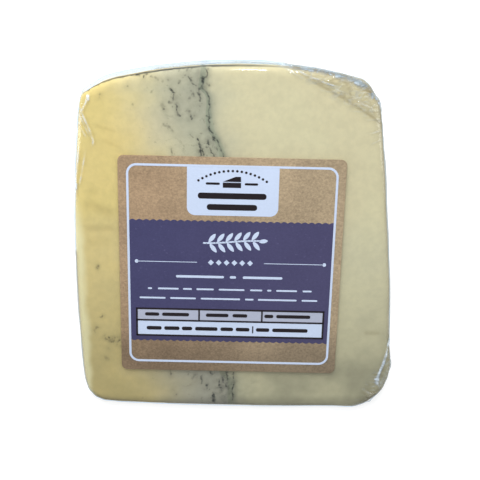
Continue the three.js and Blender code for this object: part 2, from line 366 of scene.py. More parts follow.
# Ash marks on the upper face: points of each stroke, its half width and how dark it is
ASH_STROKES = [
    ([(-9.2, 52.8), (-9.0, 51.5), (-8.7, 50.7), (-10.1, 49.8)], 0.34, 0.85),
    ([(-10.1, 50.2), (-10.2, 48.3), (-10.6, 47.1)], 0.55, 1.0),
    ([(-11.4, 46.7), (-10.4, 46.9), (-9.7, 46.5), (-8.6, 45.3), (-8.2, 42.8)], 0.34, 0.9),
    ([(-8.2, 43.0), (-8.2, 39.3), (-8.3, 38.0), (-8.2, 34.9), (-7.9, 34.0)], 0.24, 0.8),
    ([(-7.9, 34.0), (-7.2, 33.1), (-6.8, 31.6), (-5.7, 30.8)], 0.34, 0.85),
    ([(-5.7, 30.8), (-4.7, 28.9), (-3.8, 26.3), (-3.4, 24.8)], 0.32, 0.9),
    ([(-9.1, 52.3)], 0.45, 0.9),
    ([(-8.4, 38.2), (-8.3, 37.2)], 0.5, 0.8),
    ([(-9.2, 38.4), (-8.4, 37.6)], 0.35, 0.5),
    ([(-8.1, 34.1), (-7.6, 33.7)], 0.5, 0.95),
    ([(-6.8, 31.7), (-6.6, 30.7)], 0.5, 0.95),
    ([(-6.2, 28.6), (-5.9, 27.4)], 0.35, 0.5),
    ([(-20.4, 46.6), (-19.7, 45.7)], 0.45, 0.9),
    ([(-19.4, 44.9), (-19.7, 43.4)], 0.38, 0.75),
    ([(-20.6, 42.6)], 0.7, 0.6),
    ([(-18.6, 41.2), (-18.3, 38.8)], 0.42, 0.9),
    ([(-18.3, 39.0), (-17.4, 38.2)], 0.45, 0.6),
    ([(-22.8, 40.3)], 0.6, 0.55),
    ([(-23.3, 42.1), (-23.0, 41.5)], 0.7, 0.3),
    ([(-13.2, 45.0)], 0.55, 0.75),
    ([(-14.5, 43.7)], 0.7, 0.4),
    ([(-11.3, 46.3), (-11.4, 44.7), (-11.1, 43.3)], 0.38, 0.8),
    ([(-11.3, 41.3)], 0.5, 0.75),
    ([(-14.9, 39.8), (-14.7, 39.3)], 0.5, 0.6),
    ([(-14.1, 38.8), (-13.7, 37.6)], 0.45, 0.95),
    ([(-14.9, 50.4), (-13.2, 47.9), (-12.1, 47.5)], 0.34, 0.65),
    ([(-12.0, 31.1), (-11.5, 29.5), (-11.2, 28.6), (-11.3, 24.8)], 0.38, 0.9),
    ([(-11.1, 28.5), (-10.1, 26.6)], 0.5, 0.95),
    ([(-8.7, 30.6), (-8.4, 29.3)], 0.5, 0.75),
    ([(-8.5, 28.7), (-7.0, 26.2), (-6.5, 24.6)], 0.32, 0.7),
    ([(-14.3, 32.7), (-13.6, 31.6)], 0.45, 0.45),
    ([(-22.6, 38.8), (-19.9, 38.0)], 0.4, 0.2),
    ([(-22.7, 35.8), (-21.4, 34.9), (-20.0, 33.6)], 0.4, 0.35),
    ([(-20.4, 28.2), (-20.3, 26.4)], 0.5, 0.4),
    ([(-26.6, 50.4)], 0.45, 0.4),
    ([(-25.2, 50.2), (-24.4, 49.3)], 0.42, 0.35),
    ([(-22.8, 48.6)], 0.5, 0.3),
    ([(-14.4, 53.4), (-15.0, 52.2)], 0.4, 0.5),
    ([(-16.4, 50.2)], 0.45, 0.45),
    ([(-17.3, 49.1), (-17.9, 48.2)], 0.38, 0.4),
    ([(-18.8, 46.9)], 0.4, 0.25),
    ([(-15.7, 51.0)], 0.45, 0.6),
    ([(-13.7, 52.9)], 0.5, 0.7),
    ([(-18.0, 52.6), (-17.2, 52.9)], 0.45, 0.45),
    ([(-31.2, 50.9), (-29.7, 51.2), (-27.6, 51.5)], 0.5, 0.8),
    ([(-28.8, 51.4), (-28.9, 50.2)], 0.4, 0.8),
    ([(-5.5, -51.7), (-5.7, -53.9), (-5.0, -55.2)], 0.5, 0.85),
    ([(-4.6, -50.4), (-4.3, -52.2)], 0.35, 0.8),
    ([(-3.2, -48.4), (-3.0, -51.0), (-3.5, -53.3)], 0.55, 0.9),
    ([(-0.6, -48.4), (-0.4, -52.2), (-1.0, -54.5), (-1.2, -58.8)], 0.32, 0.9),
    ([(-7.6, -56.5), (-7.9, -59.2)], 0.65, 0.85),
    ([(-10.1, -53.1), (-10.1, -54.8)], 0.42, 0.8),
    ([(-15.2, -50.8), (-14.3, -49.4)], 0.5, 0.45),
    ([(-12.1, -49.8), (-12.0, -52.4)], 0.4, 0.45),
    ([(-9.0, -48.2), (-8.4, -49.0)], 0.5, 0.7),
    ([(-22.9, -47.8), (-22.8, -49.6)], 0.42, 0.6),
    ([(-21.1, -56.7)], 0.5, 0.6),
    ([(-43.1, 44.7)], 0.32, 0.6),
    ([(-34.0, 47.4)], 0.45, 0.35),
    ([(-32.6, 41.7)], 0.45, 0.35),
    ([(-46.9, -11.0), (-46.6, -10.2)], 0.45, 0.6),
    ([(-46.5, -28.2), (-46.0, -27.8)], 0.4, 0.5),
    ([(-49.4, -33.2), (-48.2, -31.8)], 0.5, 0.45),
    ([(-45.6, -35.0), (-44.6, -36.4)], 0.5, 0.4),
    ([(-43.9, -35.9)], 0.5, 0.6),
    ([(-43.0, -37.0), (-42.4, -36.6)], 0.42, 0.65),
    ([(-41.9, -35.8)], 0.45, 0.6),
    ([(-41.2, -37.1), (-40.4, -36.4)], 0.42, 0.65),
    ([(-39.8, -37.4)], 0.45, 0.5),
    ([(-45.4, -43.0)], 1.0, 0.2),
]

# Soft grey clouds round the strokes: middle, half width, half length and how dark
ASH_CLOUDS = [
    (-3.8, -54.5, 4.6, 7.5, 0.62), (-10.3, 48.6, 2.4, 3.4, 0.4), (-18.4, 42.8, 1.9, 2.8, 0.42),
    (-8.0, 30.6, 3.2, 4.2, 0.32), (-11.0, 27.4, 2.2, 3.2, 0.4), (-13.6, 52.4, 5.0, 1.8, 0.3),
    (-29.2, 51.2, 3.4, 1.1, 0.4), (-14.0, 42.0, 3.2, 5.0, 0.16), (-22.9, 41.4, 1.9, 2.2, 0.25),
    (-20.6, 35.6, 3.0, 4.6, 0.12), (-43.0, -36.4, 4.6, 1.9, 0.42), (-13.6, -50.6, 3.4, 3.4, 0.2),
    (-45.4, -43.0, 1.6, 1.8, 0.18), (-46.8, -10.6, 1.4, 1.4, 0.22), (5.0, -55.0, 6.0, 9.0, 0.16),
]


def ash_crumbs():
    """Small crumbs of ash scattered beside the darker strokes."""
    draw = random.Random(11)
    crumbs = []
    for points, _, dark in ASH_STROKES:
        for _ in range(3 if dark > 0.6 else 1):
            x, y = draw.choice(points)
            place = (x + draw.gauss(0, 0.9), y + draw.gauss(0, 1.1))
            crumbs.append(([place], draw.uniform(0.16, 0.34), dark * draw.uniform(0.4, 0.85)))
    return crumbs


def stroke_reach():
    """Each stroke and crumb with the box that it can mark."""
    rows = []
    for points, half, dark in ASH_STROKES + ash_crumbs():
        pad = half * 1.4 + 2.0
        xs, ys = [p[0] for p in points], [p[1] for p in points]
        rows.append((min(xs) - pad, max(xs) + pad, min(ys) - pad, max(ys) + pad, points, half, dark))
    return rows


REACH = stroke_reach()


def near_strokes(x, y, spare):
    """True within a spare distance of any stroke."""
    for left, right, low, high, points, half, _ in REACH:
        if left - spare < x < right + spare and low - spare < y < high + spare:
            if near_line(x, y, points)[0] < half * 1.4 + 0.7 + spare:
                return True
    return False


def drawn_ash(p):
    """How dark the ash is at a place on the upper face: ragged beaded strokes in soft clouds."""
    sway = noise.noise_vector(p / 1.7) * 0.42 + noise.noise_vector(p / 0.6) * 0.2
    x, y = p.x + sway.x, p.y + sway.y
    swell = max(0.3, 1.0 + 1.1 * noise.noise(p / 1.1 + Vector((3, 0, 0))))
    beads = 0.9 + 0.8 * noise.noise(p / 0.9 + Vector((0, 8, 0)))
    dark = 0.0
    for left, right, low, high, points, half, strength in REACH:
        if left < x < right and low < y < high:
            away = near_line(x, y, points)[0]
            heart = min(1.0, strength * 1.25) * (1 - smooth(away / (half * swell), 0.1, 1.25)) * beads
            halo = 0.3 * strength * math.exp(-(away / 1.0) ** 2)
            dark = max(dark, heart, halo)
    for across, along, wide, long, strength in ASH_CLOUDS:
        share = math.hypot((p.x - across) / wide, (p.y - along) / long)
        if share < 2:
            puff = max(0.0, 0.8 + 1.2 * noise.noise(p / 1.6 + Vector((0, 0, 7))))
            dark += (1 - dark) * strength * 0.7 * math.exp(-1.5 * share * share) * puff
    return max(0.0, min(1.0, dark))


def ash_group():
    """Masks of the ash: dark strokes, a web of fine threads near the vein, and the grey bloom beside it."""
    tree, g, given, out = new_group(
        "Ash marks",
        [("Point", "NodeSocketVector"), ("Vein Offset", "NodeSocketFloat"), ("Drawn", "NodeSocketFloat")],
        [("Ash", "NodeSocketFloat"), ("Bloom", "NodeSocketFloat")],
    )
    point, offset = given["Point"], given["Vein Offset"]
    _, y, z = g.split(point)
    in_mm = g.scaled(point, 1 / MM)
    upper = g.math("MULTIPLY_ADD", y, SLOPE, (TIP[1] - TIP[0] * SLOPE) * MM)
    depth = g.times(g.math("SUBTRACT", upper, z), 1 / MM)
    depth = g.math("MAXIMUM", depth, 0.0)
    fine = g.vector("SUBTRACT", g.noise(point, 700.0, 3.0, 0.6, "Color"), (0.5, 0.5, 0.5))
    grain = g.noise(point, 1500.0, 2.0, 0.6)
    ash = g.times(given["Drawn"], g.step(g.noise(point, 900.0, 3.0, 0.6), 0.2, 0.5, 0.55, 1.0))

    # The vein line goes on round the rim, the base and the tip, where no stroke is drawn
    line = g.math("ABSOLUTE", g.math("ADD", offset, g.math("MULTIPLY_ADD", grain, 1.2, -0.6)))
    patchy = g.noise(point, 260.0, 2.0, 0.5)
    line = g.step(line, 0.62, 0.15, 0.0, 1.0)
    line = g.times(line, g.step(patchy, 0.38, 0.56, 0.15, 0.9))
    line = g.times(line, g.step(depth, 0.8, 3.0, 0.22, 1.0))

    # Fine threads between curds, close to the vein on its sheep side
    curds = g.vector("ADD", in_mm, g.scaled(fine, 3.4))
    web = g.step(g.cracks(curds, 0.24), 0.075, 0.0)
    near = g.times(g.step(offset, -24.0, -6.0), g.step(offset, 1.5, -0.5))
    spots = g.step(g.noise(point, 330.0, 3.0, 0.6), 0.53, 0.66)
    web = g.times(g.times(web, spots), near)
    web = g.times(web, 0.4)
    specks = g.step(g.noise(point, 620.0, 2.0, 0.5), 0.69, 0.76, 0.0, 0.5)
    specks = g.times(specks, g.step(offset, -46.0, -8.0, 0.08, 0.75))
    specks = g.times(specks, g.step(offset, 2.0, 0.0))
    ash = g.math("MAXIMUM", ash, g.math("MAXIMUM", line, g.math("MAXIMUM", web, specks)))
    ash = g.times(ash, g.step(grain, 0.25, 0.6, 0.62, 1.0))

    cloud = g.noise(point, 150.0, 3.0, 0.55)
    left = g.step(g.math("MULTIPLY_ADD", cloud, 14.0, offset), -20.0, 8.0)
    right = g.step(g.math("MULTIPLY_ADD", cloud, 3.0, offset), 5.5, 0.8)
    bloom = g.times(g.times(left, right), g.step(y, -0.01, 0.045, 0.55, 1.0))
    close = g.step(g.math("ABSOLUTE", g.math("ADD", offset, 0.6)), 3.0, 0.4, 0.0, 0.15)
    bloom = g.math("ADD", bloom, close, clamp=True)
    g.send(out, {"Ash": ash, "Bloom": bloom})
    return tree


def paste_group():
    """Cheese paste: colour from the thin tip to the thick rim, darker towards the tip as painted shade, with
    soft clouds, its sheen and curd grain.
    """
    names = ("Rim Colour", "Middle Colour", "Tip Colour", "Cloud Colour")
    colours = [(name, "NodeSocketColor") for name in names]
    tree, g, given, out = new_group(
        "Cheese paste",
        [("Point", "NodeSocketVector"), *colours, ("Cloud Share", "NodeSocketFloat")],
        [("Color", "NodeSocketColor"), ("Roughness", "NodeSocketFloat"), ("Height", "NodeSocketFloat")],
    )
    point = given["Point"]
    y = g.split(point)[1]
    drift = g.noise(point, 45.0, 2.0, 0.5)
    y = g.math("ADD", y, g.math("MULTIPLY_ADD", drift, 0.02, -0.01))
    # Darker from the rim to the tip: painted shade
    colour = g.mix(g.step(y, -0.056, 0.0), given["Tip Colour"], given["Middle Colour"])
    colour = g.mix(g.step(y, -0.004, 0.012), colour, given["Rim Colour"])
    cloud = g.step(g.noise(point, 38.0, 3.0, 0.5), 0.40, 0.66)
    colour = g.mix(g.times(cloud, given["Cloud Share"]), colour, given["Cloud Colour"])
    grain = g.noise(point, 420.0, 4.0, 0.6)
    shade = g.step(grain, 0.3, 0.7, 0.955, 1.03)
    colour = g.tinted(colour, g.grey(shade))
    rough = g.step(g.noise(point, 240.0, 3.0, 0.6), 0.3, 0.7, 0.38, 0.58)
    height = g.math("MULTIPLY_ADD", g.noise(point, 160.0, 3.0, 0.5), 0.7, g.times(grain, 0.3))
    g.send(out, {"Color": colour, "Roughness": rough, "Height": height})
    return tree


def cheese_material(name, paste, marks, colours, cloud_share, rind, near_vein=None, lit_side_colour=None):
    """Paste with ash marks, and a thin rind where the attribute says so, with painted shade along its edges
    and, when given, painted light along its left side.
    """
    material, g, out, point = new_material(name)
    offset, crust = g.attribute("vein_offset"), g.attribute("rind")
    rim, middle, tip, cloud = colours
    body = g.group(paste, {
        "Point": point, "Rim Colour": rim, "Middle Colour": middle, "Tip Colour": tip,
        "Cloud Colour": cloud, "Cloud Share": cloud_share,
    })
    colour = body["Color"]
    if near_vein:
        tint, low, high = near_vein
        wavy = g.math("MULTIPLY_ADD", g.noise(point, 60.0, 3.0, 0.5), 16.0, offset)
        colour = g.mix(g.step(wavy, low + 8, high + 8), colour, g.tinted(colour, tint))
    if lit_side_colour:
        # Painted light: a paler strip along the lower left side, where the rounded edge catches the light
        x, y, _ = g.split(point)
        wander = g.math("MULTIPLY_ADD", g.noise(point, 120.0, 2.0, 0.5), 0.003, -0.0015)
        near_side = g.step(g.math("ADD", x, wander), -0.0526, -0.0498, 0.6, 0.0)
        near_tip = g.step(y, 0.0, 0.014, 1.0, 0.0)
        colour = g.mix(g.times(near_side, near_tip), colour, lit_side_colour)
    ash = g.group(marks, {"Point": point, "Vein Offset": offset, "Drawn": g.attribute("ash")})
    bloom = g.times(ash["Bloom"], 0.75)
    colour = g.mix(bloom, colour, g.tinted(colour, BLOOM_TINT))
    colour = g.mix(g.times(ash["Ash"], 0.93), colour, ASH_COLOUR)
    shell = g.step(g.noise(point, 220.0, 3.0, 0.5), 0.3, 0.7, 0.92, 1.05)
    colour = g.mix(crust, colour, g.tinted(rind, g.grey(shell)))
    # Painted shade along the paste's edges
    colour = g.mix(g.times(g.attribute("edge_shade_line"), 0.92), colour, EDGE_SHADE_COLOUR)
    rough_rind = g.times(crust, g.noise(point, 500.0, 3.0, 0.5))
    height = g.math("MULTIPLY_ADD", rough_rind, 0.5, body["Height"])
    height = g.math("MULTIPLY_ADD", ash["Ash"], -0.5, height)
    bump = g.bump(height, 0.35, 0.0005)
    rough = g.math("MULTIPLY_ADD", crust, 0.2, body["Roughness"])
    shader = g.node("ShaderNodeBsdfPrincipled", {
        "Base Color": colour, "Roughness": rough, "Normal": bump, "Specular IOR Level": 0.15,
    })
    g.send(out, {"Surface": shader.outputs[0]})
    return material


ASH_COLOUR = ink(24, 29, 29)
# Colour of the painted shade along the paste's edges
EDGE_SHADE_COLOUR = ink(30, 36, 38)
BLOOM_TINT = ink(196, 206, 216)


# Cheese

def vein_cutter(name, left, right):
    """A closed slab between two wavy sheets, given as functions of height and length."""
    bpy.ops.mesh.primitive_grid_add(x_subdivisions=120, y_subdivisions=28, size=1)
    obj = bpy.context.object
    obj.name = name
    for vertex in obj.data.vertices:
        y, z = vertex.co.x * 160, vertex.co.y * 60 + 18
        vertex.co = Vector((left(y, z), y, z)) * MM
    count = len(obj.data.vertices)
    edit(obj)
    bpy.ops.mesh.extrude_region_move(TRANSFORM_OT_translate={"value": (0.001, 0, 0)})
    leave()
    for vertex in obj.data.vertices[count:]:
        y, z = vertex.co.y / MM, vertex.co.z / MM
        vertex.co.x = right(y, z) * MM
    edit(obj)
    bpy.ops.mesh.normals_make_consistent(inside=False)
    leave()
    return obj


def cheese_body(voxel):
    """The three layers as one body, close under the film, before it is parted again."""
    body = film_shell(voxel)
    body.name = "cheese_body"
    mesh = body.data
    mesh.update()
    normals = [vertex.normal.copy() for vertex in mesh.vertices]
    for vertex, normal in zip(mesh.vertices, normals):
        p = vertex.co / MM
        slack = RIM_SLACK * smooth(normal.y, 0.3, 0.8) * smooth(p.x, 34, 18) * smooth(p.x, -54, -46)
        lift = 0.07 * noise.noise(p / 13) + 0.04 * noise.noise(p / 5 + Vector((7, 0, 0)))
        vertex.co += (normal * (lift - CHEESE_GAP - slack) + corner_push(p)) * MM
    modify(body, "SMOOTH", factor=0.5, iterations=3)
    return body


def part_body(body, name, cutter):
    """One layer: the body cut down to what lies inside its cutter."""
    layer = bpy.data.objects.new(name, body.data.copy())
    bpy.context.scene.collection.objects.link(layer)
    modify(layer, "BOOLEAN", operation="INTERSECT", solver="EXACT", object=cutter)
    bpy.data.objects.remove(cutter)
    edit(layer, "DESELECT")
    select_faces(layer, lambda c, n: n.z > 0.5 and c.z > plane_z(c.y) - 4 and near_strokes(c.x, c.y, 0.3))
    bpy.ops.mesh.quads_convert_to_tris(quad_method="BEAUTY", ngon_method="BEAUTY")
    bpy.ops.mesh.subdivide(number_cuts=3)
    leave()
    pick(layer)
    bpy.ops.object.shade_smooth_by_angle(angle=math.radians(35))
    offsets, rind, ash, edge_shade_line = [], [], [], []
    for vertex in layer.data.vertices:
        x, y, z = vertex.co / MM
        offset = x - vein_x(y, z)
        offsets.append(offset)
        normal = vertex.normal
        rind.append(max(smooth(normal.y, 0.84, 0.95), smooth(abs(normal.x), 0.86, 0.96) * (abs(offset) > 4)))
        # Painted shade: a dark line where the upper face rounds over into the rim, fainter on the goat side,
        # and a darker tint on faces turned to the tip and at the tip itself
        edge = smooth(normal.y, 0.46, 0.60) * smooth(plane_z(y) - z, 3.4, 1.8)
        edge *= min(1.0, 0.95 + 0.4 * noise.noise(vertex.co / MM / 6)) * (1 - 0.55 * smooth(x, -2, 22))
        edge_shade_line.append(max(edge, 0.5 * smooth(-normal.y, 0.4, 0.7), 0.3 * smooth(y, -56.6, -59.6)))
        top = smooth(plane_z(y) - z, 4.0, 1.5)
        ash.append(drawn_ash(Vector((x, y, z))) * top if top else 0.0)
    looks = {"ash": ash, "vein_offset": offsets, "rind": rind, "edge_shade_line": edge_shade_line}
    for look, values in looks.items():
        write_attribute(layer, look, values)
    return layer


def make_cheese(settings):
    paste, marks = paste_group(), ash_group()
    body = cheese_body(settings.cheese_detail)
    far = 90

    def sheep_side(y, z):
        return vein_x(y, z) - vein_half(y)

    def goat_side(y, z):
        return vein_x(y, z) + vein_half(y)

    sheets = {
        "sheep_paste": (lambda y, z: -far, sheep_side),
        "ash_seam": (sheep_side, goat_side),
        "goat_paste": (goat_side, lambda y, z: far),
    }
    layers = {name: part_body(body, name, vein_cutter("cutter", *pair)) for name, pair in sheets.items()}
    bpy.data.objects.remove(body)
    sheep, goat = tuple(settings.sheep_colour), tuple(settings.goat_colour)
    # Rim, middle, tip and cloud colours, where the paste darkens towards the tip as painted shade
    sheep_colours = (sheep, ink(220, 200, 138), ink(190, 172, 116), ink(232, 207, 136))
    goat_colours = (goat, ink(214, 206, 170), ink(164, 158, 129), ink(222, 213, 172))
    seam_colours = (ink(200, 196, 160), ink(200, 196, 160), ink(168, 164, 134), ink(196, 196, 166))

    # The tint of the paste near the vein is followed by where it starts and where it is full. The sheep
    # paste's last colour is painted light along its left side.
    materials = {
        "sheep_paste": cheese_material("Sheep cheese", paste, marks, sheep_colours, 0.6, ink(205, 180, 120),
                                       ((0.87, 1.0, 1.72), -38.0, -8.0), ink(240, 234, 188)),
        "ash_seam": cheese_material("Ash seam", paste, marks, seam_colours, 0.3, ink(90, 92, 86)),
        "goat_paste": cheese_material("Goat cheese", paste, marks, goat_colours, 0.5, ink(196, 188, 154),
                                      ((0.86, 0.88, 0.93), 12.0, 1.0)),
    }
    finish_piece(layers["sheep_paste"], materials["sheep_paste"], "sheep_cheese", "sheep_layer")
    finish_piece(layers["ash_seam"], materials["ash_seam"], "ash", "ash_vein")
    finish_piece(layers["goat_paste"], materials["goat_paste"], "goat_cheese", "goat_layer")


# Film

# Folds of the film: points on the upper face, half width, height, how bright its painted highlight and how
# dark its painted shade are
FILM_FOLDS = [
    ([(21.5, 50.2), (27.7, 47.4), (34.5, 43.8), (39.4, 40.9), (44.4, 37.8), (49.0, 34.6)],
     0.42, -0.12, 0.0, 0.5),
    ([(24.0, 50.4), (30.0, 47.9), (36.0, 44.8), (41.0, 42.0), (46.0, 39.2)], 0.5, 0.45, 0.3, 0.1),
    ([(15.0, 53.7), (18.1, 51.6), (22.4, 49.4)], 0.45, 0.3, 0.85, 0.2),
    ([(19.0, 52.6), (23.2, 50.5), (28.6, 48.3), (33.4, 46.8)], 0.45, 0.4, 0.95, 0.3),
    ([(21.0, 54.2), (28.0, 51.4), (34.0, 49.6), (40.5, 47.0)], 0.5, 0.45, 0.4, 0.35),
    ([(11.0, 55.4), (20.5, 53.9), (30.0, 52.2), (38.0, 49.4), (43.4, 46.2)], 2.6, 0.0, 0.85, 0.0),
    ([(14.0, 55.0), (20.5, 53.9), (30.0, 52.2), (38.0, 49.4), (43.6, 46.0), (46.6, 41.4)],
     1.5, 0.0, 0.0, 0.95),
    ([(20.0, 54.4), (28.5, 52.9), (34.9, 51.0), (41.0, 48.6)], 0.4, 0.2, 0.1, 0.7),
    ([(17.4, 53.0), (23.8, 50.4), (27.6, 48.9)], 0.36, 0.3, 0.5, 0.3),
    ([(33.0, 45.0), (34.6, 44.4), (35.6, 44.6)], 0.9, -0.1, 0.0, 0.5),
    ([(34.6, 48.2), (32.6, 46.2)], 0.35, 0.3, 0.5, 0.3),
    ([(37.5, 48.4), (36.2, 45.0), (38.0, 42.6)], 0.35, 0.3, 0.35, 0.4),
    ([(41.5, 46.0), (39.6, 43.2), (41.6, 41.2)], 0.35, 0.3, 0.4, 0.4),
    ([(45.4, 42.6), (43.2, 40.2), (44.8, 38.2)], 0.35, 0.3, 0.35, 0.4),
    ([(52.6, 42.0), (47.0, 40.2), (42.3, 39.7)], 0.38, 0.3, 0.35, 0.2),
    ([(53.0, 38.6), (47.0, 37.0), (41.5, 37.2)], 0.35, 0.25, 0.25, 0.2),
    ([(53.3, 35.6), (47.5, 34.0), (42.0, 32.4)], 0.4, 0.3, 0.4, 0.2),
    ([(53.4, 32.6), (48.6, 31.8), (43.6, 29.4)], 0.35, 0.25, 0.3, 0.2),
    ([(53.6, 26.0), (50.0, 25.0), (47.0, 23.0)], 0.35, 0.2, 0.15, 0.15),
    ([(-46.7, 45.2), (-47.6, 42.3), (-49.0, 40.1), (-50.6, 37.9)], 0.6, 0.45, 1.0, 0.25),
    ([(-50.3, 42.3), (-48.5, 37.7), (-46.8, 33.7), (-45.9, 30.6), (-46.2, 29.0)], 0.6, 0.45, 1.15, 0.3),
    ([(-50.2, 39.2), (-48.6, 35.6), (-46.9, 31.8)], 0.35, 0.3, 0.8, 0.2),
    ([(-50.6, 37.2), (-49.6, 34.4), (-48.0, 31.6)], 0.42, 0.3, 0.9, 0.25),
    ([(-45.5, 35.6), (-38.1, 33.4)], 0.6, 0.12, 0.0, 0.22),
    ([(-43.2, 31.2), (-37.3, 28.4)], 0.6, 0.12, 0.0, 0.18),
    ([(-50.6, 29.9), (-51.4, 24.6), (-52.4, 18.9), (-53.0, 15.0), (-52.6, 11.7)], 0.7, 0.35, 1.0, 0.25),
    ([(-48.6, 27.8), (-50.0, 21.4), (-51.4, 16.3)], 0.5, 0.25, 0.7, 0.15),
    ([(-50.6, 9.8), (-47.4, 10.4), (-44.2, 8.8), (-39.8, 6.9)], 1.9, -0.3, 0.0, 0.2),
    ([(-50.6, 2.6), (-45.2, 2.4), (-39.6, 2.8)], 1.3, -0.2, 0.0, 0.17),
    ([(-48.2, 15.2), (-45.6, 13.4)], 1.3, -0.2, 0.0, 0.14),
    ([(-50.8, -2.2), (-45.4, -1.5), (-41.4, -2.5)], 1.3, -0.15, 0.0, 0.1),
    ([(54.6, -34.4), (53.2, -38.4), (52.0, -43.0), (50.8, -47.5), (49.6, -52.4)], 0.75, 0.7, 2.4, 0.12),
    ([(50.7, -48.0), (50.2, -50.0), (49.7, -52.2)], 1.0, 0.5, 1.1, 0.2),
    ([(54.6, -40.5), (53.6, -45.5), (52.2, -50.5), (51.0, -54.0)], 1.5, 0.3, 0.28, 0.4),
    ([(54.6, -38.0), (55.0, -47.5)], 0.6, 0.2, 0.4, 0.2),
    ([(52.3, -56.1), (50.5, -53.0), (50.0, -50.0)], 0.4, 0.3, 0.2, 0.4),
    ([(44.5, -33.8), (50.8, -33.9)], 0.8, -0.15, 0.0, 0.28),
]

# Painted glints, bright spots where a small facet of the film would catch the light: place, half length, half
# width and turn
FILM_GLINTS = [
    (23.8, 52.6, 1.7, 0.5, -0.3), (32.0, 50.9, 2.1, 0.55, -0.3), (39.2, 48.0, 1.9, 0.85, -0.2),
    (44.3, 44.2, 1.4, 0.8, -0.5), (46.6, 42.4, 0.7, 0.9, 0.0), (50.1, -51.2, 0.8, 1.6, -0.25),
    (54.2, -36.6, 0.5, 1.6, -0.3), (55.0, -42.0, 0.5, 2.4, 0.0), (-47.0, 44.0, 0.5, 1.0, 0.3),
    (-52.6, 17.0, 0.5, 2.2, 0.1),
]


def facets(s, t, size, seed):
    """Flat three-sided facets between random heights, from -1 to 1, as in crumpled film."""
    s, t = s / size, t / size
    skew = (s + t) * 0.366
    i, j = math.floor(s + skew), math.floor(t + skew)
    a, b = s + skew - i, t + skew - j

    def level(p, q):
        return noise.cell(Vector((p + 0.5, q + 0.5, seed + 0.5))) * 2 - 1

    if a > b:
        return level(i, j) * (1 - a) + level(i + 1, j) * (a - b) + level(i + 1, j + 1) * b
    return level(i, j) * (1 - b) + level(i, j + 1) * (b - a) + level(i + 1, j + 1) * a


def loose_share(x, y):
    """How loosely the film lies at a place seen from above: 1 in its gathered corners."""
    across = ((x - 12.0) * 0.49 + (y - 54.4) * 0.87)
    upper_right = smooth(across, -1.5, 3.0) * smooth(x, 8, 20)
    lower_right = smooth(x * 0.9 + y * -0.42, 62.5, 66.5)
    upper_left = smooth(-x * 0.8 + y * 0.6, 63.5, 68.0)
    lower_left = smooth(-x * 0.8 - y * 0.6, 72.5, 77.0)
    return max(upper_right, lower_right, 0.8 * upper_left, 0.6 * lower_left)


def under_label(x, y):
    """1 under the label, 0 away from it."""
    u, v = x - LABEL_MIDDLE[0], (y - LABEL_MIDDLE[1]) / math.cos(SLOPE_ANGLE)
    return (1 - smooth(abs(u), 36.5, 39.5)) * (1 - smooth(abs(v), 37.0, 40.0))


def film_shell(voxel):
    """The film's outer skin, closed over its seal and remeshed evenly."""
    film = copy_node("clear_film", "film_wrap")
    edit(film, "DESELECT")

    def inner_or_seal(centre, normal):
        heart = Vector((0, min(45, max(-50, centre.y)), plane_z(centre.y) / 2))
        seal = centre.y > 44 and abs(centre.x) < 36 and 3.1 < centre.z < 9.2
        return seal or (centre - heart).dot(normal) < 0

    select_faces(film, inner_or_seal)
    bpy.ops.mesh.delete(type="FACE")
    select_whole()
    bpy.ops.mesh.delete_loose()
    bpy.ops.mesh.select_mode(type="EDGE")
    bpy.ops.mesh.select_all(action="DESELECT")
    shell = bmesh.from_edit_mesh(film.data)
    for rim in shell.edges:
        over = [vertex.co.z > SEAL_LEVEL * MM for vertex in rim.verts]
        if rim.is_boundary and over[0] == over[1]:
            rim.select_set(True)
    bmesh.update_edit_mesh(film.data)
    bpy.ops.mesh.bridge_edge_loops()
    select_whole()
    bpy.ops.mesh.fill_holes(sides=0)
    select_whole()
    bpy.ops.mesh.normals_make_consistent(inside=False)
    leave()
    modify(film, "REMESH", mode="VOXEL", voxel_size=voxel)
    modify(film, "SMOOTH", factor=0.5, iterations=3)
    return film


def corner_push(p):
    """How far a place near one of the wrap's corners stands out, as a move in millimetres."""
    push = Vector()
    for (x, y), reach, (out_x, out_y) in WRAP_CORNERS:
        share = math.exp(-((p.x - x) ** 2 + (p.y - y) ** 2) / reach ** 2)
        push += Vector((out_x, out_y, 0)) * share * smooth(p.z, 1.5, 7)
    return push


def fold_near(x, y, spare):
    """True within a spare distance of any fold line."""
    return any(near_line(x, y, points)[0] < half + spare for points, half, _, _, _ in FILM_FOLDS)


def refine_film(film):
    """Finer faces where the film is gathered or folded."""
    edit(film, "DESELECT")
    select_faces(film, lambda c, n: n.z > -0.3 and plane_z(c.y) - c.z < 14 and (
        loose_share(c.x, c.y) > 0.05 or n.z > 0.2 and fold_near(c.x, c.y, 0.8)))
    bpy.ops.mesh.subdivide(number_cuts=2)
    leave()


